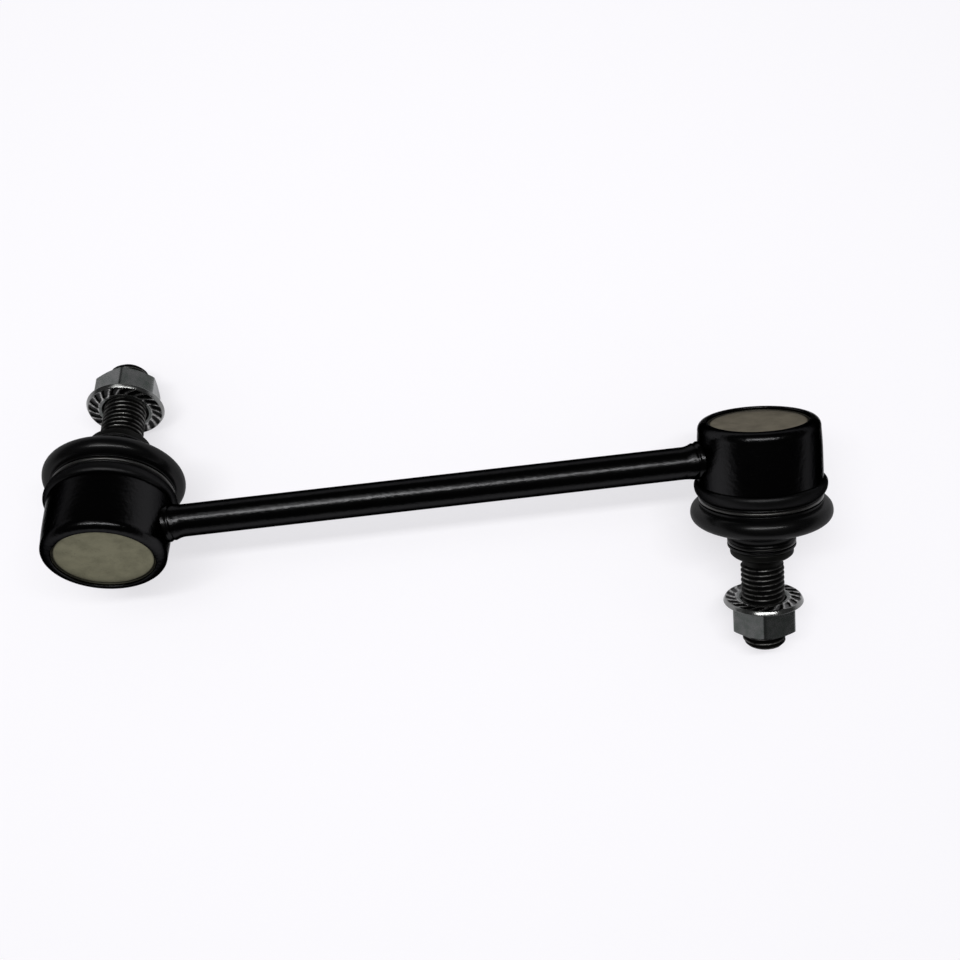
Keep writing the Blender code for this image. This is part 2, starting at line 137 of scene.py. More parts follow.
# %% [markdown]
# Some stretches of an outline are no arc: the lip of a housing swells and the belly of a boot hangs.
# They could be lists of measured points, but a Bezier curve says the same with two ends and two
# handles, and its handles can be moved later.

# %% Draw a curved stretch
def curve(start, start_handle, end_handle, end, steps=8):
    """Corners without rounding along a Bezier curve of (radius, height) points."""
    knots = [Vector((*point, 0)) for point in (start, start_handle, end_handle, end)]
    return [(point.x, point.y, 0) for point in interpolate_bezier(*knots, steps + 1)]


def curve_from(base_radius, points, steps):
    """The same for points that count their radius from a base radius."""
    return curve(*((base_radius + radius, height) for radius, height in points), steps)


print("a trial curve:", [corner[:2] for corner in curve((1, 0), (1, 1), (0, 1), (0, 2), steps=2)])

# %% [markdown]
# A finished piece is an object at the origin whose mesh already holds its place. That keeps a
# pattern on Object coordinates still when the object is exported. Smooth shading with sharp edges
# kept by angle shows the round stretches round and the machined corners crisp.

# %% Turn a mesh into a piece of the link
SHARP_ANGLE = math.radians(32)


def piece(name, bm, placing, finish):
    """Make an object from a bmesh, placed by a matrix, with its material."""
    bm.transform(placing)
    mesh = bpy.data.meshes.new(name)
    bm.to_mesh(mesh)
    bm.free()
    mesh.shade_smooth()
    mesh.set_sharp_from_angle(angle=SHARP_ANGLE)
    mesh.materials.append(finish)
    obj = bpy.data.objects.new(name, mesh)
    bpy.context.scene.collection.objects.link(obj)
    print(name, "has", len(mesh.polygons), "faces")
    return obj


# %% [markdown]
# Shader maths reads best as plain arithmetic. Sum wraps one socket, and each operator on it adds a
# Math node. Laying the same nodes by hand in the editor gives the same result, but nobody can read
# forty of them side by side.

# %% Sums of shader values
class Sum:
    """A number that varies over the surface, with Python's operators on it."""

    def __init__(self, graph, socket):
        self.graph = graph
        self.socket = socket

    def math(self, operation, *values, clamp=False):
        """Result of one Math node."""
        inputs = dict(enumerate(values))
        return self.graph.node("Math", {"operation": operation, "use_clamp": clamp}, inputs)

    def __add__(self, other):
        return self.math("ADD", self, other)

    def __sub__(self, other):
        return self.math("SUBTRACT", self, other)

    def __rsub__(self, other):
        return self.math("SUBTRACT", other, self)

    def __mul__(self, other):
        return self.math("MULTIPLY", self, other)

    __radd__ = __add__

    def above(self, edge, width):
        """0 below the edge and 1 above it, with a soft step of the given width."""
        return self.math("MULTIPLY", self - edge, 1 / width, clamp=True)


# %% [markdown]
# Every other node comes from one method, which sets the node's own settings first, because they
# decide which sockets it has. A material and the world both own such a tree of nodes, so one class
# serves both.

# %% Nodes of a material or the world
class Graph:
    """The node tree of a material or the world."""

    def __init__(self, owner):
        owner.use_nodes = True
        self.tree = owner.node_tree

    def node(self, kind, settings, inputs, output=None):
        """Add a node and return one of its outputs, the first one if none is named."""
        node = self.tree.nodes.new(f"ShaderNode{kind}")
        for name, value in settings.items():
            setattr(node, name, value)
        self.fill(node, inputs)
        shown = [socket for socket in node.outputs if socket.enabled]
        return Sum(self, node.outputs[output] if output else shown[0])

    def fill(self, node, inputs):
        """Set or link a node's inputs, each given by its name or its place in the list."""
        shown = [socket for socket in node.inputs if socket.enabled]
        named = {socket.name: socket for socket in shown}
        for name, value in inputs.items():
            socket = shown[name] if isinstance(name, int) else named[name]
            if isinstance(value, Sum):
                self.tree.links.new(value.socket, socket)
            else:
                socket.default_value = value

    def seeing_rays(self):
        """1 for camera, glossy and transmission rays, 0 for the rays that light matt surfaces."""
        kinds = ("Camera", "Glossy", "Transmission")
        camera, glossy, transmission = (self.node("LightPath", {}, {}, f"Is {kind} Ray") for kind in kinds)
        return camera + glossy + transmission


# %% [markdown]
# Real finishes follow the way a piece was made: turning marks run round the stud, dirt sits at an
# edge. An image texture would have to be drawn for each piece. Noise on Object coordinates needs
# none, and a Mapping node measures from the end's own axis.

# %% Patterns of a finish
class Finish(Graph):
    """One material's graph, from Object coordinates to a Principled shader."""

    def __init__(self, name):
        self.material = bpy.data.materials.new(name)
        super().__init__(self.material)
        self.shader = self.tree.nodes["Principled BSDF"]
        self.place = self.node("TexCoord", {}, {}, "Object")

    def noise(self, size, detail=2.0, roughness=0.5):
        """Cloudy noise from 0 to 1 whose blotches are about size millimetres wide."""
        inputs = {"Vector": self.place, "Scale": 1 / (size * MM), "Detail": detail, "Roughness": roughness}
        return self.node("TexNoise", {"noise_dimensions": "3D"}, inputs)

    def mix(self, factor, first, second):
        """Blend of two colours."""
        pair = [(*c, 1) if isinstance(c, tuple) else c for c in (first, second)]
        inputs = {"Factor": factor, "A": pair[0], "B": pair[1]}
        return self.node("Mix", {"data_type": "RGBA"}, inputs)

    def bump(self, height, depth):
        """Normal of a relief that is depth millimetres deep."""
        return self.node("Bump", {}, {"Height": height, "Distance": depth * MM, "Strength": 1.0})

    def local(self, side):
        """Position in an end's own frame, in metres, so that patterns can follow the stud's axis."""
        matrix = end_frame(side)
        inputs = {"Vector": self.place, "Location": matrix.translation, "Rotation": matrix.to_euler()}
        return self.node("Mapping", {"vector_type": "TEXTURE"}, inputs)

    def radius(self, side):
        """Distance from the stud's axis in millimetres."""
        flat = self.node("VectorMath", {"operation": "MULTIPLY"}, {0: self.local(side), 1: (1, 1, 0)})
        return self.node("VectorMath", {"operation": "LENGTH"}, {0: flat}, "Value") * (1 / MM)

    def height(self, side):
        """Distance along the stud from the ball's centre in millimetres."""
        return self.node("SeparateXYZ", {}, {"Vector": self.local(side)}, "Z") * (1 / MM)

    def done(self, **inputs):
        """Connect the shader's inputs and return the material."""
        self.fill(self.shader, {name.replace("_", " "): value for name, value in inputs.items()})
        print("finish", self.material.name, "has", len(self.tree.nodes), "nodes")
        return self.material


# %% [markdown]
# The rod and the housings are painted together after welding, in a glossy black enamel. Such paint
# is never flat: it has a fine orange peel about a millimetre wide, settled dust and slightly duller
# patches. The peel goes into the bump, so that highlights break up, and not into the colour. A
# plain dielectric would mirror the pale floor all round its edges and look grey there. The real
# enamel stays black, so it is drawn as a very dark mirror whose edge tint holds that back. The lip
# beside each boot was half covered while it was sprayed, so the gloss is duller there.

# %% Black enamel
ENAMEL_BLACK = (0.019, 0.019, 0.0195)
SETTLED_DUST = (0.015, 0.015, 0.0145)
LIP_START = 4.8
DULL_START = LIP_START - 0.3
DULL_FADE = 0.8


def black_enamel(side=None):
    g = Finish(f"{side}_enamel" if side else "rod_enamel")
    peel = g.noise(1.1, detail=1.0)
    grain = g.noise(0.22, detail=2.0, roughness=0.7)
    patches = g.noise(14.0, detail=3.0)
    dust = grain.above(0.66, 0.08) * patches.above(0.45, 0.2)
    roughness = dust * 0.25 + patches * 0.08 + 0.16
    if side:
        roughness += g.height(side).above(DULL_START, DULL_FADE) * 0.25
    return g.done(
        Base_Color=g.mix(dust, ENAMEL_BLACK, SETTLED_DUST),
        Metallic=1 - dust * 0.5,
        Roughness=roughness,
        Specular_Tint=(0.2, 0.2, 0.2, 1),
        Normal=g.bump(peel * 0.75 + grain * 0.25, 0.07),
    )


enamels = {side: black_enamel(side) for side in (None, *INWARD)}

# %% [markdown]
# The cap plates are pressed from sheet and keep a dull, faintly green coating. Concentric drawing
# marks follow the plate's own centre, so the pattern reads the distance from the stud's axis.
# Darker handling stains break up the flat face. A darker band along its edge and in the groove is
# painted shade. The left plate is painted lighter and the right plate darker, as painted light and
# shade. The plates carry no markings.

# %% Dull coated steel of the cap plates
PLATE_FACE = 12.85
# Width of the painted shade band inside the plate's edge.
SHADE_BAND = 0.4
# Per side, the left tones are painted lighter and the right tones darker, as painted light and shade. In
# each pair the second tone is for stains.
PLATE_TONES_WITH_PAINTED_LIGHT = {
    "left": ((0.225, 0.218, 0.151), (0.17, 0.165, 0.114)),
    "right": ((0.175, 0.16, 0.128), (0.13, 0.118, 0.096)),
}
PLATE_SPECK = (0.07, 0.068, 0.05)
# Colour of the painted shade along the plate's edge and in the groove.
EDGE_SHADE = (0.02, 0.02, 0.017)


def plate_steel(side):
    g = Finish(f"{side}_plate_steel")
    radius = g.radius(side)
    rings = g.node("TexNoise", {"noise_dimensions": "1D"}, {"W": radius, "Scale": 4.0, "Detail": 3.0})
    stains = g.noise(4.5, detail=5.0, roughness=0.6)
    specks = g.noise(0.5, detail=3.0, roughness=0.7)
    # Painted shade: darker from just inside the plate's edge outwards, over the groove inside the rim.
    edge = radius.above(PLATE_FACE - SHADE_BAND, 0.5)
    base = g.mix(stains.above(0.4, 0.3), *PLATE_TONES_WITH_PAINTED_LIGHT[side])
    spotted = g.mix(specks.above(0.62, 0.1) * 0.6, base, PLATE_SPECK)
    return g.done(
        Base_Color=g.mix(edge * 0.8, spotted, EDGE_SHADE),
        Metallic=0.75,
        Specular_Tint=(0.35, 0.33, 0.26, 1),
        Roughness=0.42 + stains * 0.16 + specks * 0.08,
        Normal=g.bump(rings * 0.6 + specks * 0.4, 0.02),
    )


plates = {side: plate_steel(side) for side in INWARD}

# %% [markdown]
# The studs are forged, machined and phosphated, which leaves a nearly black crystalline skin. It is
# rubbed brighter where a tool or the nut has touched, and that is on the crests of the thread. The
# mask could be painted by hand, but the distance from the stud's axis finds every crest by itself.

# %% Phosphated stud steel
THREAD_RADIUS = 6.0
CREST_BAND = 0.28
RELIEF_END = 29.7
PHOSPHATE_TONES = ((0.006, 0.0061, 0.006), (0.016, 0.016, 0.0145))
RUBBED_CREST = (0.16, 0.16, 0.154)


def stud_phosphate(side):
    g = Finish(f"{side}_stud_phosphate")
    crystals = g.noise(0.16, detail=3.0, roughness=0.7)
    blotches = g.noise(2.6, detail=4.0, roughness=0.6)
    on_thread = g.height(side).above(RELIEF_END, 0.5)
    crest = g.radius(side).above(THREAD_RADIUS - CREST_BAND, 0.2) * on_thread
    worn = crest * blotches.above(0.35, 0.3)
    return g.done(
        Base_Color=g.mix(worn, g.mix(blotches, *PHOSPHATE_TONES), RUBBED_CREST),
        Metallic=0.8 + worn * 0.2,
        Specular_Tint=(0.3, 0.3, 0.3, 1),
        Roughness=0.36 - worn * 0.14 + crystals * 0.08,
        Normal=g.bump(crystals, 0.03),
    )


studs = {side: stud_phosphate(side) for side in INWARD}

# %% [markdown]
# The nuts are zinc plated. Zinc dulls in soft patches from light grey to a darker greenish grey,
# the flange's rim is rubbed bright, and its teeth are bright on their worn crests. Painted shade
# darkens the valleys between them. The masks measure from the toothed face and from the stud's axis.

# %% Zinc plating of the nuts
NUT_FACE, NUT_END, FLANGE_RADIUS = reach("left_flange_nut")
TOOTH_INNER = 7.45
TOOTH_OUTER = 10.35
TOOTH_ZONE = 0.5
RIM_ZONE = 1.0
VALLEY_START = 0.02
VALLEY_FADE = 0.16
ZINC_TONES = ((0.125, 0.128, 0.126), (0.078, 0.09, 0.082))
ZINC_SPANGLE = (0.2, 0.203, 0.198)
RUBBED_RIM = (0.25, 0.25, 0.245)
TOOTH_TONES = ((0.05, 0.051, 0.05), (0.46, 0.46, 0.45))
# Colour of the painted shade in the valleys between the teeth.
VALLEY_SHADE = (0.008, 0.008, 0.008)


def nut_zinc(side):
    g = Finish(f"{side}_nut_zinc")
    patches = g.noise(2.6, detail=5.0, roughness=0.6)
    spangle = g.noise(0.35, detail=3.0, roughness=0.75)
    wear = g.noise(0.9, detail=3.0, roughness=0.6)
    radius = g.radius(side)
    height = g.height(side)
    outside = radius.above(TOOTH_OUTER, 0.1)
    near_face = 1 - height.above(NUT_FACE + TOOTH_ZONE, 0.1)
    toothed = radius.above(TOOTH_INNER - 0.1, 0.2) * (1 - outside) * near_face
    rim = outside * (1 - height.above(NUT_FACE + RIM_ZONE, 0.2))
    base = g.mix(patches.above(0.4, 0.25), *ZINC_TONES)
    fine = g.mix(spangle.above(0.5, 0.3) * 0.35, base, ZINC_SPANGLE)
    rubbed = g.mix(rim * 0.5, fine, RUBBED_RIM)
    crest = g.mix(wear.above(0.36, 0.25), *TOOTH_TONES)
    # Painted shade: the valleys between the teeth, deeper in the face than the crests, are darkened.
    teeth = g.mix(height.above(NUT_FACE + VALLEY_START, VALLEY_FADE), crest, VALLEY_SHADE)
    return g.done(
        Base_Color=g.mix(toothed, rubbed, teeth),
        Metallic=0.93,
        Roughness=0.21 + spangle * 0.12 - rim * 0.08,
        Normal=g.bump(spangle * 0.7 + patches * 0.3, 0.02),
    )


zincs = {side: nut_zinc(side) for side in INWARD}

# %% [markdown]
# The boots are moulded in black rubber. It scatters light widely, with a soft sheen, and its skin is
# finely pebbled from the mould. A little pale dust sits in broad clouds. The sheen comes from a thin
# coat, because the rubber's own gloss would turn it grey all over.

# %% Boot rubber
RUBBER_TONES = ((0.0012, 0.0012, 0.0013), (0.0035, 0.0035, 0.0034))


def boot_rubber():
    g = Finish("boot_rubber_skin")
    pebbles = g.noise(0.3, detail=2.0)
    clouds = g.noise(9.0, detail=4.0, roughness=0.6)
    return g.done(
        Base_Color=g.mix(clouds.above(0.5, 0.4) * 0.5, *RUBBER_TONES),
        Roughness=0.4 + clouds * 0.16,
        Specular_IOR_Level=0.03,
        Coat_Weight=0.07,
        Coat_IOR=2.5,
        Coat_Roughness=0.25,
        Normal=g.bump(pebbles, 0.02),
    )


rubber = boot_rubber()

# %% [markdown]
# The wire rings are drawn spring steel with fine marks and a dark temper colour. The ball seats are
# hidden inside the housings. They stay the frame's own solids and get a moulded plastic with faint
# flow lines, because they still show when the part is opened up.

# %% Spring wire and seat plastic
NECK_WIRE_TONES = ((0.035, 0.035, 0.034), (0.1, 0.099, 0.094))
LIP_WIRE_TONES = ((0.008, 0.008, 0.008), (0.025, 0.025, 0.024))
SEAT_TONES = ((0.7, 0.69, 0.64), (0.8, 0.79, 0.75))


def spring_wire(name, tones):
    g = Finish(name)
    marks = g.noise(0.18, detail=3.0, roughness=0.7)
    return g.done(
        Base_Color=g.mix(marks, *tones),
        Metallic=0.9,
        Roughness=0.28 + marks * 0.14,
        Normal=g.bump(marks, 0.01),
    )


def seat_plastic():
    g = Finish("seat_acetal")
    flow = g.noise(5.0, detail=4.0)
    grain = g.noise(0.2)
    return g.done(
        Base_Color=g.mix(flow, *SEAT_TONES),
        Roughness=0.34 + flow * 0.14,
        Normal=g.bump(grain, 0.02),
    )


neck_wire = spring_wire("neck_wire", NECK_WIRE_TONES)
lip_wire = spring_wire("lip_wire", LIP_WIRE_TONES)
acetal = seat_plastic()
for side in INWARD:
    seat = frame["nodes"][f"{side}_ball_seat"]
    seat.data.materials.clear()
    seat.data.materials.append(acetal)

# %% [markdown]
# The rod is plain drawn bar. It runs a little way into both housings, where the weld holds it. A
# cylinder would do as well, but the spinning helper needs only the bar's four corners. The rod's
# own frame has +Z along the rod.

# %% The rod
HOUSING_RADIUS = 16.5
LOWER_RADIUS = 16.8
ROD_SINK = 1.5

rod_low, rod_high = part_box("link_rod")
rod_centre = (rod_low + rod_high) / 2
rod_radius = (rod_high.z - rod_low.z) / 2 / MM
ball_distance = 2 * abs(joints["left_stud_turn"]["pos_m"][0]) / MM
half_rod = ball_distance / 2 - HOUSING_RADIUS + ROD_SINK
along_rod = Matrix.Translation(rod_centre) @ Matrix.Rotation(math.pi / 2, 4, "Y") @ Matrix.Scale(MM, 4)
rod_line = [(0, -half_rod, 0), (rod_radius, -half_rod, 0), (rod_radius, half_rod, 0), (0, half_rod, 0)]
rod = piece("rod_bar", turned(rod_line), along_rod, enamels[None])
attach(rod, "link")
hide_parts("link_rod")

# %% [markdown]
# Each housing is a turned cup. Its rim is rolled over the cap plate, its side widens slightly
# towards the boot, and it ends in a rounded lip and a neck that holds the boot. The inside is open
# as on the real part. A boolean could hollow it out, but it leaves long thin faces that shade
# badly, so the whole wall is one closed line of corners.

# %% The housings
RIM_INNER = 13.35
RIM_UNDER = -11.4
RIM_ROUNDING = 2.2
RIM_DRAFT = 0.2
FLARE_START = -6.6
FLARE_SLOPE = -5.0
FLARE_END = -1.0
SEAT_TOP = -9.0
PLATE_BORE = 14.5
BALL_BORE = 12.3
SHOULDER_HEIGHT = 5.015
SHOULDER_MOUTH = 8.0
BODY_END = 8.415
LIP_CREST = 6.075
LIP_UNDERCUT = 1.1
QUARTER_ROUND = 0.5523
NECK_RADIUS = 13.451
NECK_FLANGE = 0.7
NECK_MOUTH = 11.15
FLANGE_FOOT = 1.0
FLANGE_EDGE = 0.5

rim_top, neck_end, lip_radius = reach("left_housing")
lip_end_radius = lip_radius - LIP_UNDERCUT
rim_radius = HOUSING_RADIUS - RIM_DRAFT
flange_radius = NECK_RADIUS + NECK_FLANGE
flare_line = curve((rim_radius, rim_top + RIM_ROUNDING + 0.3), (HOUSING_RADIUS, FLARE_START),
                   (LOWER_RADIUS - 0.15, FLARE_SLOPE), (LOWER_RADIUS - 0.1, FLARE_END))
lip_line = curve((LOWER_RADIUS, LIP_START),
                 (LOWER_RADIUS + QUARTER_ROUND * (lip_radius - LOWER_RADIUS), LIP_START),
                 (lip_radius, LIP_CREST - QUARTER_ROUND * (LIP_CREST - LIP_START)),
                 (lip_radius, LIP_CREST))
lip_line += curve((lip_radius, LIP_CREST),
                  (lip_radius, LIP_CREST + QUARTER_ROUND * (BODY_END - LIP_CREST)),
                  (lip_end_radius + QUARTER_ROUND * LIP_UNDERCUT, BODY_END),
                  (lip_end_radius, BODY_END))[1:]
housing_line = [
    (RIM_INNER, rim_top, 0.25),
    (rim_radius, rim_top, RIM_ROUNDING),
    *flare_line,
    (LOWER_RADIUS, LIP_START - 0.6, 0),
    *lip_line,
    (NECK_RADIUS, BODY_END, 0.3),
    (NECK_RADIUS, neck_end - FLANGE_FOOT, 0.2),
    (flange_radius, neck_end - FLANGE_EDGE, 0.15),
    (flange_radius - 0.2, neck_end, 0.15),
    (NECK_MOUTH, neck_end, 0.3),
    (SHOULDER_MOUTH, SHOULDER_HEIGHT, 0.2),
    (BALL_BORE, SHOULDER_HEIGHT, 0.1),
    (BALL_BORE, SEAT_TOP, 0.1),
    (PLATE_BORE, SEAT_TOP, 0.1),
    (PLATE_BORE, RIM_UNDER, 0.15),
    (RIM_INNER, RIM_UNDER, 0.15),
]
for side in INWARD:
    cup = piece(f"{side}_cup", turned(housing_line, closed=True), end_frame(side), enamels[side])
    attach(cup, "link")
    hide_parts(f"{side}_housing")

# %% [markdown]
# A round disc of sheet closes each housing. A groove pressed round its face leaves a dark gap inside
# the rolled rim. The gap could be only a dark line in the material, but a real step also shadows
# itself when the plate is seen from the side. The plate's material also paints shade into the groove.

# %% The cap plates
PLATE_GROOVE = 0.6
GROOVE_DRAFT = 0.1

plate_outer, plate_inner, plate_radius = reach("left_cap_plate")
plate_line = [
    (0, plate_outer, 0),
    (PLATE_FACE, plate_outer, 0.12),
    (PLATE_FACE + GROOVE_DRAFT, plate_outer + PLATE_GROOVE, 0.1),
    (RIM_INNER + GROOVE_DRAFT, plate_outer + PLATE_GROOVE, 0.1),
    (RIM_INNER + 2 * GROOVE_DRAFT, plate_outer, 0.05),
    (plate_radius, plate_outer, 0.1),
    (plate_radius, plate_inner, 0.1),
    (0, plate_inner, 0),
]
for side in INWARD:
    plate = piece(f"{side}_plate", turned(plate_line), end_frame(side), plates[side])
    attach(plate, "link")
    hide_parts(f"{side}_cap_plate")

# %% [markdown]
# The weld is a ring of metal laid round the rod in two passes, so it shows two low humps before the
# housing. It could be sculpted, but a formula gives the same ring again at the other end. It is spun
# like the rest, then pushed about. It is thick towards the cap plate and thin towards the boot,
# faint ripples run round it, and each vertex near the housing follows the curve of the wall,
# because a ring cut flat would leave the wall at its sides.

# %% The weld beads
BEAD_RADIUS = 5.45
BEAD_LENGTH = 4.2
BEAD_ROOT = -2.2
BEAD_BURIED = 0.3
BEAD_STEPS = 156
ROD_OFFSET = 1.8
TAPER_AT_ROD = 0.4
THIN_SIDE = 0.4
THICK_SIDE = 1.2
RIPPLES = 9
RIPPLE_HEIGHT = 0.02
RIPPLE_DRIFT = 1.2
RIPPLE_DEPTH = 0.3
TOE_WAVES = 3
TOE_WAVE_HEIGHT = 0.15
WALL_FADE = 0.4

# Each point is a height over the rod and a distance from the housing.
bead_rise = BEAD_RADIUS - rod_radius
TOE = ((0.0, BEAD_LENGTH), (0.1, BEAD_LENGTH - 1.0), (0.3, 2.6), (0.55, 2.1))
FIRST_PASS = ((0.62, 1.8), (0.62, 1.5), (0.55, 1.45), (0.56, 1.3))
SECOND_PASS = ((0.6, 1.1), (0.75, 0.9), (bead_rise, 0.8), (bead_rise, 0.2))
bead_line = [
    (rod_radius - BEAD_BURIED, BEAD_LENGTH - 0.2, 0),
    *curve_from(rod_radius, TOE, 6),
    *curve_from(rod_radius, FIRST_PASS, 4),
    *curve_from(rod_radius, SECOND_PASS, 5),
    (BEAD_RADIUS, BEAD_ROOT, 0),
    (rod_radius - BEAD_BURIED, BEAD_ROOT, 0),
]


def weld_bead():
    """Ring round the rod, +Z along the rod and away from the housing, +X across the stud."""
    bm = turned(bead_line, steps=BEAD_STEPS, closed=True)
    for vert in bm.verts:
        angle = math.atan2(vert.co.y, vert.co.x)
        thick = max(0.0, vert.co.xy.length - rod_radius)
        to_plate = (1 - math.sin(angle)) / 2
        ripple = math.sin(RIPPLES * angle + RIPPLE_DRIFT * vert.co.z) + math.sin(4 * angle + 2)
        grown = thick * (THIN_SIDE + (THICK_SIDE - THIN_SIDE) * to_plate - 1)
        grown += RIPPLE_HEIGHT * min(1.0, thick / RIPPLE_DEPTH) * ripple
        vert.co.xy *= 1 + grown / vert.co.xy.length
        wave = TOE_WAVE_HEIGHT * math.sin(TOE_WAVES * angle + 1)
        vert.co.z += wave * max(0.0, vert.co.z) / BEAD_LENGTH
        sag = HOUSING_RADIUS - math.sqrt(HOUSING_RADIUS**2 - vert.co.x**2)
        vert.co.z -= sag * (1 - WALL_FADE * max(0.0, vert.co.z) / BEAD_LENGTH)
    return bm


wall_at_rod = LOWER_RADIUS - (LOWER_RADIUS - HOUSING_RADIUS) * TAPER_AT_ROD
bead_in_end = Matrix(((0, 0, 1, wall_at_rod), (1, 0, 0, 0), (0, 1, 0, -ROD_OFFSET), (0, 0, 0, 1)))
for side in INWARD:
    bead = piece(f"{side}_weld", weld_bead(), end_frame(side) @ bead_in_end, enamels[None])
    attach(bead, "link")
    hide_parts(f"{side}_weld_bead")

# %% [markdown]
# The stud is a forging: a ball, a neck, a seat for the boot, a collar and a threaded shank. The
# plain part is one spun line. The thread could be a bump, but its outline would stay straight, so
# it is a true helix. One turn of a single groove is drawn as a short line, and spin lifts it by a
# little at each step while it turns, so that after a full turn the line meets itself one pitch
# higher and the doubles can be merged. Two turns too many at each end are cut off again.

# %% The helical thread
PITCH = 1.5
ROOT_RADIUS = 5.08
ROOT_FLAT = 0.3
CREST_FOOT = 5.45
CREST_HALF = 0.38
CREST_BOW = 0.2
TURN_STEPS = 60
SPARE_TURNS = 2
THREAD_WELD = 0.002
RELIEF_RADIUS = 5.5
TIP_CHAMFER = 1.07

thread_end = reach("left_ball_stud")[1]


def thread_surface(low, high):
    """Open helical surface between two heights, with its radius eased in and out at both ends."""
    bm = bmesh.new()
    rise = ROOT_FLAT + (PITCH - ROOT_FLAT) / 2 - CREST_HALF
    bow = THREAD_RADIUS + (THREAD_RADIUS - CREST_FOOT) / 3
    crest = curve((CREST_FOOT, rise), (bow, rise + CREST_BOW),
                  (bow, rise + 2 * CREST_HALF - CREST_BOW), (CREST_FOOT, rise + 2 * CREST_HALF))
    groove = [(ROOT_RADIUS, 0, 0), (ROOT_RADIUS, ROOT_FLAT, 0), *crest, (ROOT_RADIUS, PITCH, 0)]
    verts = [bm.verts.new((radius, 0, low - SPARE_TURNS * PITCH + z)) for radius, z, _ in groove]
    for pair in zip(verts, verts[1:]):
        bm.edges.new(pair)
    bmesh.ops.spin(bm, geom=bm.verts[:] + bm.edges[:], cent=(0, 0, 0), axis=(0, 0, 1),
                   dvec=(0, 0, PITCH / TURN_STEPS), angle=math.tau, steps=TURN_STEPS)
    one_turn = bm.verts[:] + bm.edges[:] + bm.faces[:]
    for count in range(1, math.ceil((high - low) / PITCH) + 2 * SPARE_TURNS):
        copy = bmesh.ops.duplicate(bm, geom=one_turn)["geom"]
        copied = [item for item in copy if isinstance(item, bmesh.types.BMVert)]
        bmesh.ops.translate(bm, verts=copied, vec=(0, 0, count * PITCH))
    bmesh.ops.remove_doubles(bm, verts=bm.verts, dist=THREAD_WELD)
    for vert in bm.verts:
        radius = vert.co.xy.length
        start_cone = RELIEF_RADIUS + max(0.0, vert.co.z - low)
        end_cone = THREAD_RADIUS - TIP_CHAMFER + max(0.0, high - vert.co.z)
        vert.co.xy *= min(radius, start_cone, end_cone) / radius
    for height, outer, inner in ((low, False, True), (high, True, False)):
        bmesh.ops.bisect_plane(bm, geom=bm.verts[:] + bm.edges[:] + bm.faces[:], plane_co=(0, 0, height),
                               plane_no=(0, 0, 1), clear_outer=outer, clear_inner=inner)
    return bm


trial = thread_surface(RELIEF_END, thread_end)
print("thread faces", len(trial.faces), "open edges", sum(edge.is_boundary for edge in trial.edges))
trial.free()

# %% [markdown]
# The plain body joins the thread at the relief groove, and a flat ring with a hexagon socket closes
# the tip. A boolean could join them too, but bridging one open loop of edges to another keeps every
# vertex where it is and leaves one closed skin. Both pairs of loops lie in one plane, where rounding
# alone would decide which way round the new faces run, and they could cross over. So one loop is
# lifted while the bridge is made, and the volume is printed to show that the skin is sound.

# %% The studs
BALL_RADIUS = 8.0
BALL_FLAT = 3.0
BALL_STEPS = 28
STUD_NECK = 4.5
STUD_NECK_END = 14.5
BOOT_SEAT_RADIUS = 7.0
BOOT_SEAT_TOP = 20.5
COLLAR_RADIUS = 8.7
COLLAR_CHAMFER = 0.7
COLLAR_TOP = 24.7
STUD_REACH = 27.2
SOCKET_FLATS = 6.0
SOCKET_DEPTH = 5.0
SAME_HEIGHT = 0.01
LIFT = 1.0


def open_loop(bm, height):
    """Edges of the open boundary that lie at one height."""
    return [edge for edge in bm.edges if edge.is_boundary
            and all(abs(vert.co.z - height) < SAME_HEIGHT for vert in edge.verts)]


def bridge_level(bm, outer, inner):
    """Bridge two loops in one plane, with the inner one lifted meanwhile."""
    lifted = {vert for edge in inner for vert in edge.verts}
    for vert in lifted:
        vert.co.z += LIFT
    bmesh.ops.bridge_loops(bm, edges=outer + inner)
    for vert in lifted:
        vert.co.z -= LIFT


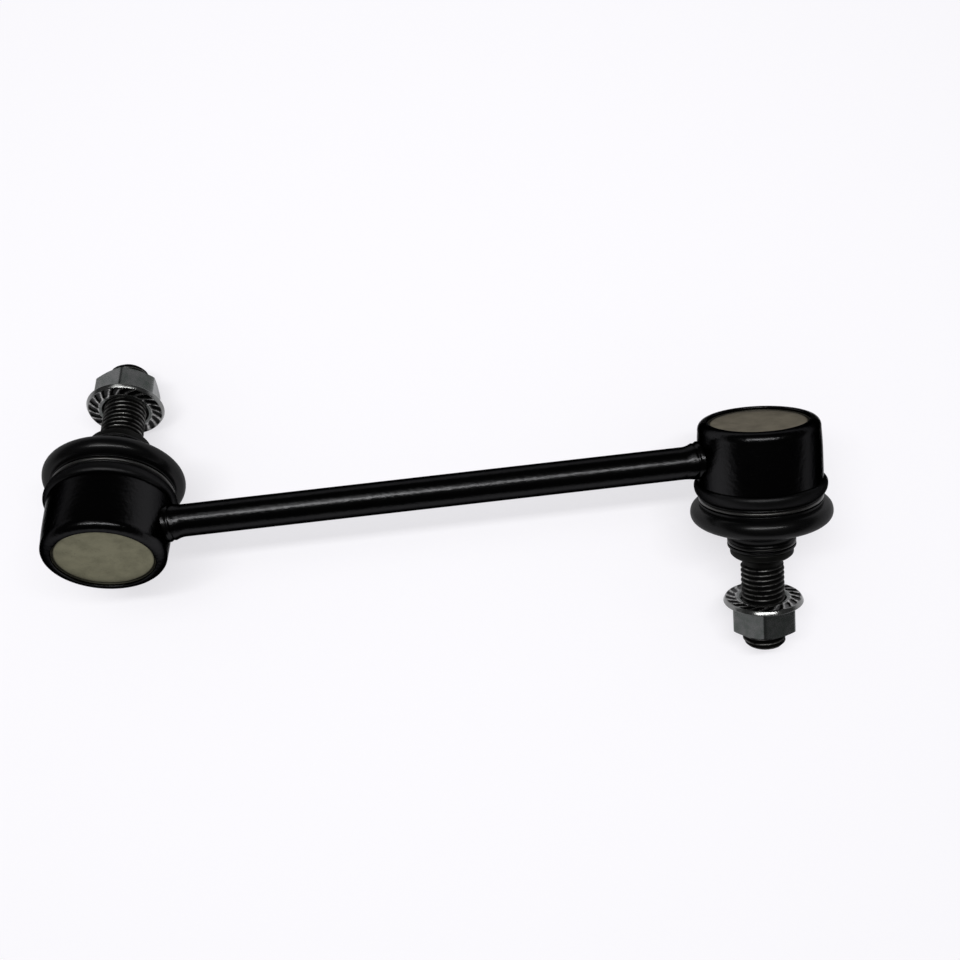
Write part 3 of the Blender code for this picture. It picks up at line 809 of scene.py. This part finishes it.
def ball_stud():
    flat_at = -math.sqrt(BALL_RADIUS**2 - BALL_FLAT**2)
    neck_at = math.sqrt(BALL_RADIUS**2 - STUD_NECK**2)
    first = math.atan2(flat_at, BALL_FLAT)
    last = math.atan2(neck_at, STUD_NECK)
    sphere = [first + (last - first) * i / BALL_STEPS for i in range(BALL_STEPS + 1)]
    line = [(0, flat_at, 0)]
    line += [(BALL_RADIUS * math.cos(a), BALL_RADIUS * math.sin(a), 0) for a in sphere]
    line += [
        (STUD_NECK, STUD_NECK_END, 2.0),
        (BOOT_SEAT_RADIUS, BOOT_SEAT_TOP, 1.0),
        (BOOT_SEAT_RADIUS, COLLAR_TOP, 0.3),
        (COLLAR_RADIUS, COLLAR_TOP, 0.4),
        (COLLAR_RADIUS, STUD_REACH - COLLAR_CHAMFER, 0.25),
        (COLLAR_RADIUS - COLLAR_CHAMFER, STUD_REACH, 0.2),
        (RELIEF_RADIUS, STUD_REACH, 0.4),
        (RELIEF_RADIUS, RELIEF_END, 0),
    ]
    bm = turned(line)
    thread = thread_surface(RELIEF_END, thread_end)
    mesh = bpy.data.meshes.new("thread")
    thread.to_mesh(mesh)
    thread.free()
    body_loop = open_loop(bm, RELIEF_END)
    bm.from_mesh(mesh)
    bpy.data.meshes.remove(mesh)
    thread_loop = [edge for edge in open_loop(bm, RELIEF_END) if edge not in body_loop]
    bridge_level(bm, body_loop, thread_loop)
    tip = open_loop(bm, thread_end)
    corners = bmesh.ops.create_circle(bm, segments=6, radius=SOCKET_FLATS / math.sqrt(3))["verts"]
    bmesh.ops.translate(bm, verts=corners, vec=(0, 0, thread_end))
    rim = [edge for edge in bm.edges if edge.verts[0] in corners]
    bridge_level(bm, tip, rim)
    walls = bmesh.ops.extrude_edge_only(bm, edges=rim)["geom"]
    floor = [vert for vert in walls if isinstance(vert, bmesh.types.BMVert)]
    bmesh.ops.translate(bm, verts=floor, vec=(0, 0, -SOCKET_DEPTH))
    bmesh.ops.contextual_create(bm, geom=floor)
    bmesh.ops.recalc_face_normals(bm, faces=bm.faces)
    print("the stud holds", round(bm.calc_volume() / 1000, 3), "cubic centimetres")
    return bm


for side in INWARD:
    stud = piece(f"{side}_forging", ball_stud(), end_frame(side), studs[side])
    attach(stud, f"{side}_stud")
    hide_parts(f"{side}_ball_stud")

# %% [markdown]
# The boot is a moulded sleeve. Its mouth hooks over the housing's neck, its belly bulges, and its
# lip grips the stud. The skin is drawn first, and the inside is the same line moved in by the
# wall's thickness. A Solidify modifier would do that as well, but it can't hook a mouth or a lip on.

# %% Outline of the boot
BOOT_TOP = 8.715
MOUTH_INNER = 13.75
MOUTH_OUTER = 16.75
MOUTH_END = 11.315
MOUTH_TRIM = 0.9
HOOK_GAP = 0.3
HOOK_FOOT = 1.2
BOOT_WALL = 1.3
BULGE_AT = 14.14
BELLY_PULL = 4.4
BELLY_STEPS = 26
RING_UPPER = 9.865
RING_LOWER = 22.9
GROOVE_DEPTH = 1.3
GROOVE_HALF = 0.7
LIP_OUTER = 9.4
LIP_INNER = 7.3
LIP_TRIM = 0.6
LIP_TOP = 21.4
LIP_END = 24.4
WAIST = 0.5
SEAM_STEP = 7

boot_radius = reach("left_dust_boot")[2]


def inset(points, distance):
    """The outline moved inwards by a wall's thickness."""
    moved = []
    for index, here in enumerate(points):
        before = Vector(points[max(index - 1, 0)][:2])
        after = Vector(points[min(index + 1, len(points) - 1)][:2])
        along = (after - before).normalized()
        moved.append((here[0] - along.y * distance, here[1] + along.x * distance, 0))
    return moved


waist_radius = LIP_OUTER - WAIST
shoulder = curve((MOUTH_OUTER, MOUTH_END), (MOUTH_OUTER + 1.5, MOUTH_END),
                 (boot_radius, BULGE_AT - 1.7), (boot_radius, BULGE_AT), 14)
belly = curve((boot_radius, BULGE_AT), (boot_radius, BULGE_AT + BELLY_PULL),
              (waist_radius + 1.0, LIP_TOP - BELLY_PULL), (waist_radius, LIP_TOP), BELLY_STEPS)
upper_skin = shoulder + belly[1:SEAM_STEP + 1]
lower_skin = belly[SEAM_STEP:]
whole_inside = inset(shoulder + belly[1:], BOOT_WALL)
seam = len(upper_skin) - 1
upper_inside = [corner for corner in whole_inside[:seam + 1] if corner[1] > MOUTH_END + MOUTH_TRIM]
lower_inside = [corner for corner in whole_inside[seam:] if corner[0] > LIP_INNER + LIP_TRIM]

mouth_floor = MOUTH_OUTER - GROOVE_DEPTH
hook_radius = flange_radius + HOOK_GAP
upper_line = [
    (MOUTH_INNER, BOOT_TOP, 0.2),
    (MOUTH_OUTER, BOOT_TOP, 0.35),
    (MOUTH_OUTER, RING_UPPER - GROOVE_HALF, 0.15),
    (mouth_floor, RING_UPPER - GROOVE_HALF, 0.3),
    (mouth_floor, RING_UPPER + GROOVE_HALF, 0.3),
    (MOUTH_OUTER, RING_UPPER + GROOVE_HALF, 0.15),
    *upper_skin,
    *reversed(upper_inside),
    (hook_radius, neck_end + HOOK_GAP, 0.2),
    (hook_radius, neck_end - HOOK_FOOT, 0.2),
    (MOUTH_INNER, neck_end - HOOK_FOOT - HOOK_GAP, 0.2),
]
lip_floor = LIP_OUTER - GROOVE_DEPTH
lower_line = [
    *lower_skin,
    (LIP_OUTER, LIP_TOP + WAIST, 0.3),
    (LIP_OUTER, RING_LOWER - GROOVE_HALF, 0.1),
    (lip_floor, RING_LOWER - GROOVE_HALF, 0.3),
    (lip_floor, RING_LOWER + GROOVE_HALF, 0.3),
    (LIP_OUTER, RING_LOWER + GROOVE_HALF, 0.15),
    (LIP_OUTER, LIP_END, 0.3),
    (LIP_INNER, LIP_END, 0.2),
    (LIP_INNER, lower_inside[-1][1] + 0.3, 0.4),
    *reversed(lower_inside),
]

# %% [markdown]
# The boot crosses two joints: the first hinge tilts it with the boot body, the second tilts its lip
# with the stud. So it is split at a seam ring on the boot body into two halves. Here each half is
# only placed and baked; nothing ties it to a joint or bends it.

for side in INWARD:
    placing = end_frame(side)
    upper = piece(f"{side}_boot_upper", turned(upper_line, closed=True), placing, rubber)
    lower = piece(f"{side}_boot_lower", turned(lower_line, closed=True), placing, rubber)
    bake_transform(upper)
    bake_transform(lower)
    for half in (upper, lower):
        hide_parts(f"{side}_dust_boot")

# %% [markdown]
# Two wire rings clamp each boot. Each is a turn of round wire with a narrow gap between its ends. A
# torus would be quicker, but it has no ends, so a circle is spun almost all the way round.

# %% The wire rings
RING_WIRE = 0.5
RING_GAP = 4.0
WIRE_SIDES = 16
WIRE_STEPS = 128


def wire_ring(radius, height):
    """Ring of wire about +Z, open on its +Y side."""
    upright = Matrix.Rotation(math.pi / 2, 3, "X")
    quarter = Matrix.Rotation(math.pi / 2, 3, "Z")
    bm = bmesh.new()
    section = bmesh.ops.create_circle(bm, segments=WIRE_SIDES, radius=RING_WIRE, cap_ends=True)["verts"]
    bmesh.ops.rotate(bm, verts=section, cent=(0, 0, 0), matrix=upright)
    bmesh.ops.translate(bm, verts=section, vec=(radius, 0, height))
    bmesh.ops.rotate(bm, verts=bm.verts, cent=(0, 0, 0), matrix=quarter)
    bmesh.ops.spin(bm, geom=bm.verts[:] + bm.edges[:] + bm.faces[:], cent=(0, 0, 0), axis=(0, 0, 1),
                   angle=math.radians(360 - RING_GAP), steps=WIRE_STEPS)
    bmesh.ops.recalc_face_normals(bm, faces=bm.faces)
    return bm


for side in INWARD:
    neck_ring = piece(f"{side}_neck_wire", wire_ring(MOUTH_OUTER - RING_WIRE, RING_UPPER),
                      end_frame(side), neck_wire)
    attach(neck_ring, "link")
    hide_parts(f"{side}_boot_upper_ring")
    lip_ring = piece(f"{side}_lip_wire", wire_ring(LIP_OUTER - RING_WIRE, RING_LOWER),
                     end_frame(side), lip_wire)
    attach(lip_ring, f"{side}_boot_lip")
    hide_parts(f"{side}_boot_lower_ring")

# %% [markdown]
# The flange nut is a hexagon with a wide toothed flange. It could be cut from a cylinder with
# booleans, but the teeth would leave ragged faces. Instead the outline starts as a circle of six
# points. A vertex bevel softens the six edges, and cuts bring every side to the same count, so that
# the loop can then be extruded ring by ring: up the flats, in over the chamfer, down the bore and
# out over the teeth. Raising the outline to a cone gives the curved edges of a real nut's chamfer.

# %% Follow a loop through rings
TEETH = 20
TOOTH_STEPS = 9
RING_COUNT = TEETH * TOOTH_STEPS
NUT_FLATS = 17.0
EDGE_ROUNDING = 0.45
EDGE_STEPS = 6
LONGEST_ARC_EDGE = 2.0


def nut_outline(bm):
    """Ordered vertices of the rounded hexagon, all sides cut alike."""
    bmesh.ops.create_circle(bm, segments=6, radius=NUT_FLATS / math.sqrt(3), cap_ends=False)
    bmesh.ops.rotate(bm, verts=bm.verts, cent=(0, 0, 0), matrix=Matrix.Rotation(math.pi / 6, 3, "Z"))
    bmesh.ops.bevel(bm, geom=bm.verts[:], offset=EDGE_ROUNDING, offset_type="OFFSET",
                    segments=EDGE_STEPS, profile=0.5, affect="VERTICES", material=-1)
    flats = [edge for edge in bm.edges if edge.calc_length() > LONGEST_ARC_EDGE]
    bmesh.ops.subdivide_edges(bm, edges=flats, cuts=RING_COUNT // 6 - EDGE_STEPS - 1)
    return sorted(bm.verts, key=lambda vert: math.atan2(vert.co.y, vert.co.x))


def next_ring(bm, ring):
    """Extrude a ring of vertices and return the new ring in the same order."""
    edges = [bm.edges.get((a, b)) for a, b in zip(ring, ring[1:] + ring[:1])]
    grown = bmesh.ops.extrude_edge_only(bm, edges=edges)["geom"]
    fresh = {vert for vert in grown if isinstance(vert, bmesh.types.BMVert)}
    return [next(e.other_vert(v) for e in v.link_edges if e.other_vert(v) in fresh) for v in ring]


def put_on_circle(ring, radius, height, twist=0.0):
    """Spread a ring's vertices evenly round a circle, turned by the twist."""
    for index, vert in enumerate(ring):
        angle = math.tau * index / len(ring) - math.pi + twist
        vert.co = (radius * math.cos(angle), radius * math.sin(angle), height)


print("each ring of a nut has", RING_COUNT, "vertices")

# %% [markdown]
# The teeth slant, so each ring of the toothed face is turned a little further than the one inside
# it, and the same row of heights goes round every ring. The crests then follow the mesh's own lines.

# %% The flange nuts
NUT_BORE = 6.12
BORE_CHAMFER = 0.75
FACE_CHAMFER = 0.6
CHAMFER_START = 8.15
CHAMFER_SLOPE = math.tan(math.radians(27))
FLANGE_SLOPE = math.tan(math.radians(28))
FLANGE_RIM = 1.3
FACE_RINGS = 8
TOOTH_DEPTH = 0.4
TOOTH_TWIST = math.radians(14)
TOOTH_SHAPE = (0.0, 0.1, 0.25, 0.45, 0.7, 0.93, 1.0, 0.7, 0.1)
TOOTH_RUN_IN = 1.5
TOOTH_RUN_OUT = 0.55
RIM_FOOT = ((-0.68, 0.1), (-0.48, 0.1), (-0.4, 0.3), (-0.03, 1.02))
RIM_EDGE = ((0.0, 1.1), (0.0, 1.2), (-0.04, FLANGE_RIM), (-0.15, FLANGE_RIM))

nut_height = NUT_END - NUT_FACE


def flange_nut():
    """Nut that stands on its toothed face, with its bore on +Z."""
    bm = bmesh.new()
    lower = nut_outline(bm)
    upper = next_ring(bm, lower)
    for vert in lower:
        vert.co.z = FLANGE_RIM + (FLANGE_RADIUS - vert.co.xy.length) * FLANGE_SLOPE
    for vert in upper:
        vert.co.z = nut_height - max(0.0, vert.co.xy.length - CHAMFER_START) * CHAMFER_SLOPE
    ring = upper
    for radius, height in ((CHAMFER_START, nut_height), (NUT_BORE + BORE_CHAMFER, nut_height),
                           (NUT_BORE, nut_height - BORE_CHAMFER), (NUT_BORE, FACE_CHAMFER),
                           (NUT_BORE + FACE_CHAMFER, 0.0)):
        ring = next_ring(bm, ring)
        put_on_circle(ring, radius, height)
    for step in range(FACE_RINGS + 1):
        share = step / FACE_RINGS
        ring = next_ring(bm, ring)
        put_on_circle(ring, TOOTH_INNER + (TOOTH_OUTER - TOOTH_INNER) * share, 0.0, TOOTH_TWIST * share)
        depth = TOOTH_DEPTH * min(1.0, step / TOOTH_RUN_IN, FACE_RINGS - step + TOOTH_RUN_OUT)
        for index, vert in enumerate(ring):
            vert.co.z = depth * (1 - TOOTH_SHAPE[index % TOOTH_STEPS])
    rim_line = curve_from(FLANGE_RADIUS, RIM_FOOT, 7) + curve_from(FLANGE_RADIUS, RIM_EDGE, 4)
    for radius, height, _ in rim_line:
        ring = next_ring(bm, ring)
        put_on_circle(ring, radius, height, TOOTH_TWIST)
    open_edges = [edge for edge in bm.edges if edge.is_boundary]
    bmesh.ops.bridge_loops(bm, edges=open_edges)
    bmesh.ops.recalc_face_normals(bm, faces=bm.faces)
    return bm


def nut_turn(side):
    """Angle of a nut's first edge about its stud, read from the corners of its solid."""
    points = own_points(side, f"{side}_flange_nut")
    corner = max((p for p in points if p.z > (NUT_FACE + NUT_END) / 2), key=lambda p: p.xy.length)
    return math.atan2(corner.y, corner.x)


for side in INWARD:
    turn = nut_turn(side)
    placing = end_frame(side) @ Matrix.Translation((0, 0, NUT_FACE)) @ Matrix.Rotation(turn, 4, "Z")
    nut = piece(f"{side}_nut", flange_nut(), placing, zincs[side])
    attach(nut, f"{side}_nut")
    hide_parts(f"{side}_flange_nut")
    print(side, "nut turned by", round(math.degrees(turn), 1), "degrees")

# %% [markdown]
# The link lies on pale paper. To light a floor to white would take so much light that the object's
# own colours washed out. So the paper's colour is a mid grey, which takes the shadows, and a glow
# lifts it to white. Only camera, glossy and transmission rays see that glow, so that metal mirrors
# a white floor but nothing is lit by it.

# %% Floor
FLOOR_SIZE = 8.0
FLOOR_COLOUR = (0.36, 0.356, 0.367)
FLOOR_GLOW = (0.641, 0.634, 0.654)
FIBRE_SHADE = 0.985

floor_bm = bmesh.new()
bmesh.ops.create_grid(floor_bm, x_segments=1, y_segments=1, size=FLOOR_SIZE / 2)
floor_mesh = bpy.data.meshes.new("floor")
floor_bm.to_mesh(floor_mesh)
floor_bm.free()
paper = Finish("pale_paper")
fibres = paper.noise(1.5, detail=3.0)
floor_mesh.materials.append(paper.done(
    Base_Color=paper.mix(fibres, FLOOR_COLOUR, tuple(FIBRE_SHADE * c for c in FLOOR_COLOUR)),
    Roughness=0.9,
    Specular_IOR_Level=0.1,
    Emission_Color=paper.mix(paper.seeing_rays(), (0.0, 0.0, 0.0), FLOOR_GLOW),
    Emission_Strength=1.0,
))
floor = bpy.data.objects.new("floor", floor_mesh)
bpy.context.scene.collection.objects.link(floor)

# %% [markdown]
# The world tells apart what a ray is for. Rays that light matt surfaces see an even grey. Camera,
# glossy and transmission rays see the studio: pale where its walls meet the floor, and dark
# overhead, so that black enamel stays black. One even white world would be simpler, but it would
# show as a grey veil on every black piece.

# %% World
AMBIENT = 0.41
AMBIENT_COLOUR = (0.98, 0.98, 1.0, 1)
WALL_LIGHT = 0.8
WALL_COLOUR = (0.981, 0.971, 1.0, 1)
WALL_TOP = 0.1
CEILING_START = 0.3
CEILING = 0.03

world = bpy.data.worlds.new("studio")
bpy.context.scene.world = world
sky = Graph(world)
direction = sky.node("TexCoord", {}, {}, "Generated")
walls = sky.node("MapRange", {}, {
    "Value": sky.node("SeparateXYZ", {}, {"Vector": direction}, "Z"),
    "From Min": WALL_TOP,
    "From Max": CEILING_START,
    "To Min": WALL_LIGHT,
    "To Max": CEILING,
})
even = sky.node("Background", {}, {"Color": AMBIENT_COLOUR, "Strength": AMBIENT})
studio = sky.node("Background", {}, {"Color": WALL_COLOUR, "Strength": walls})
blend = sky.node("MixShader", {}, {0: sky.seeing_rays(), 1: even, 2: studio})
sky.fill(sky.tree.nodes["World Output"], {"Surface": blend})
sky.tree.nodes.remove(sky.tree.nodes["Background"])
print("world nodes:", len(sky.tree.nodes))

# %% [markdown]
# A long softbox hangs over the link, in line with the rod, so that its reflection draws one thin
# line along the enamel. A square lamp stands higher, to the upper left. It widens that line a little
# and gives the floor the faint shadows that lie to the lower right.

# %% Lamps
SOFTBOX_SIZE = (0.5, 0.04)
SOFTBOX_PLACE = (0, 0.02, 0.55)
SOFTBOX_POWER = 1.5
FILL_SIZE = (0.4, 0.4)
FILL_PLACE = (-0.2, 0.15, 0.9)
FILL_POWER = 1.2
LAMP_AIM = (0, 0, 0)


def lamp(name, power, size, place):
    """Rectangular lamp that points at the middle of the link."""
    data = bpy.data.lights.new(name, "AREA")
    data.shape = "RECTANGLE"
    data.size, data.size_y = size
    data.energy = power
    obj = bpy.data.objects.new(name, data)
    bpy.context.scene.collection.objects.link(obj)
    obj.location = place
    obj.rotation_euler = (Vector(LAMP_AIM) - Vector(place)).to_track_quat("-Z", "Y").to_euler()
    print(name, "hangs", round((Vector(place) - Vector(LAMP_AIM)).length, 3), "m from the link")


lamp("softbox", SOFTBOX_POWER, SOFTBOX_SIZE, SOFTBOX_PLACE)
lamp("fill", FILL_POWER, FILL_SIZE, FILL_PLACE)

# %% [markdown]
# The camera looks down on the link from just above the near side, a little right of its middle. Its
# place was found from the outlines of both housings and is given from the rod's own centre.

# %% Camera
CAMERA_FROM_ROD = Vector((0.01126, -0.04482, 0.27318))
CAMERA_TURN = (9.658, 0.78, -6.468)
CAMERA_LENS = 37.971
CAMERA_SENSOR = 36.0

camera_data = bpy.data.cameras.new("camera")
camera_data.lens = CAMERA_LENS
camera_data.sensor_width = CAMERA_SENSOR
camera = bpy.data.objects.new("camera", camera_data)
bpy.context.scene.collection.objects.link(camera)
camera.location = Vector((0, 0, rod_centre.z)) + CAMERA_FROM_ROD
camera.rotation_euler = [math.radians(angle) for angle in CAMERA_TURN]
bpy.context.scene.camera = camera
bpy.context.scene.view_settings.view_transform = "Standard"
print("camera stands", round(CAMERA_FROM_ROD.length, 3), "m from the rod")
